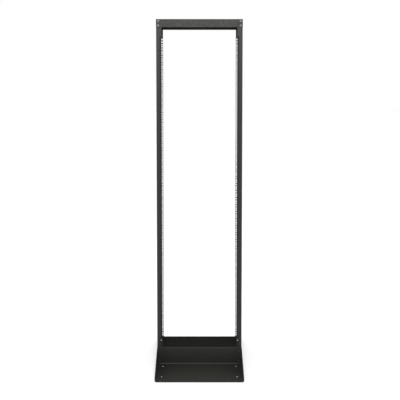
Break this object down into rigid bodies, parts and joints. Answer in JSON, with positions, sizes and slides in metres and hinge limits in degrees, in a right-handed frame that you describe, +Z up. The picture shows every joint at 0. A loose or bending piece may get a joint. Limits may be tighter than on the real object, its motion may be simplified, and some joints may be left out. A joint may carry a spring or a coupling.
{
  "type": "two post open frame rack",
  "caption": "Free standing open frame of two perforated channel uprights on flanged foot angles, for bolting rack mounted equipment between the uprights.",
  "frame": {"origin": "on the floor, at the centre of the base", "axes": "+X across the rack to the right as seen from the front, -Y out of the front, +Z up"},
  "size_m": [0.515, 0.4096, 2.0914],
  "materials": {
    "black_hardware": "blacked steel of the bolt heads",
    "zinc_hardware": "bright zinc of the nuts and thread ends",
    "black_coat": "fine-textured black powder coat on formed steel sheet"
  },
  "bodies": {
    "root": {"left_upright": "black_coat", "right_upright": "black_coat", "front_top_angle": "black_coat", "rear_top_angle": "black_coat", "front_base_angle": "black_coat", "rear_base_angle": "black_coat", "front_left_gusset": "black_coat", "front_right_gusset": "black_coat", "rear_left_gusset": "black_coat", "rear_right_gusset": "black_coat"}
  },
  "joints": []
}
